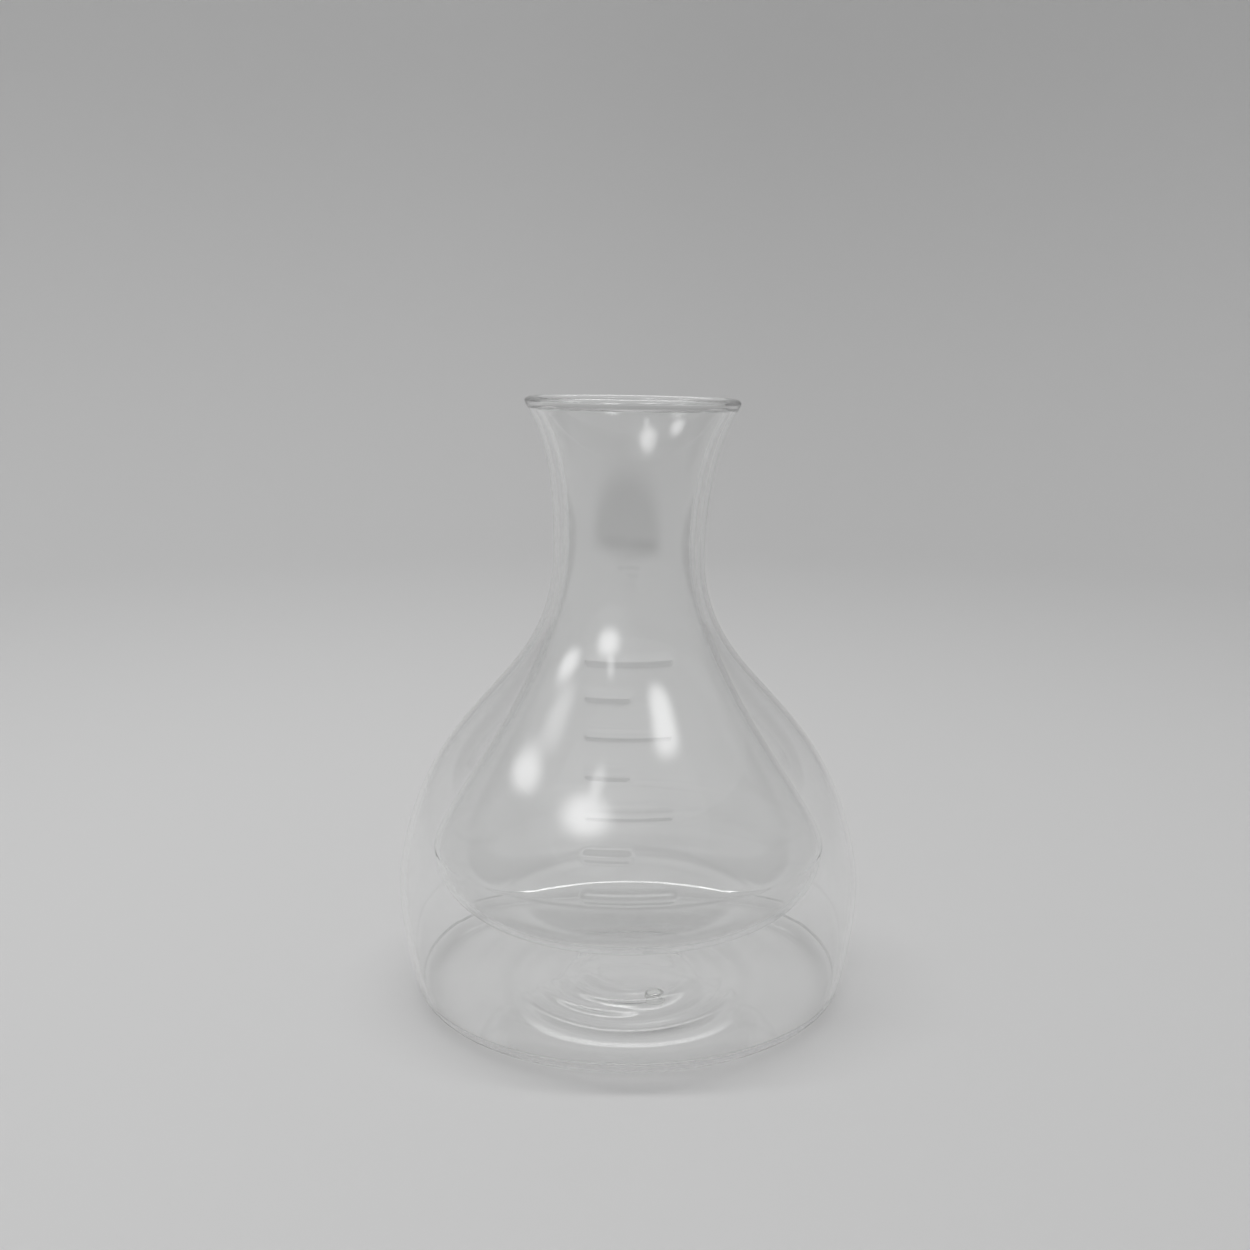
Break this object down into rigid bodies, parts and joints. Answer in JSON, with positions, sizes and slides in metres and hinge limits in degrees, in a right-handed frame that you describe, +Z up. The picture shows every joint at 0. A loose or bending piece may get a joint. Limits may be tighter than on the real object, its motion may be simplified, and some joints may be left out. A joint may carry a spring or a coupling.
{
  "type": "double-walled glass flask",
  "caption": "Clear double-walled glass flask with a flared mouth, a narrow neck and an inner bulb that holds the liquid clear of the bell-shaped outer wall.",
  "frame": {"origin": "on the flask's axis, in the plane that it stands on", "axes": "+Z up along the axis towards the mouth; the raised scale faces -Y"},
  "size_m": [0.109, 0.109, 0.14],
  "materials": {
    "clear_glass": "fire-polished, clear and colourless",
    "base_glass": "clear, rippled by pressing",
    "seal_glass": "melted drop, slightly milky"
  },
  "bodies": {
    "root": {"outer_shell": "clear_glass", "inner_vessel": "clear_glass", "rim_bead": "clear_glass", "outer_base": "base_glass", "vent_seal": "seal_glass"}
  },
  "joints": []
}
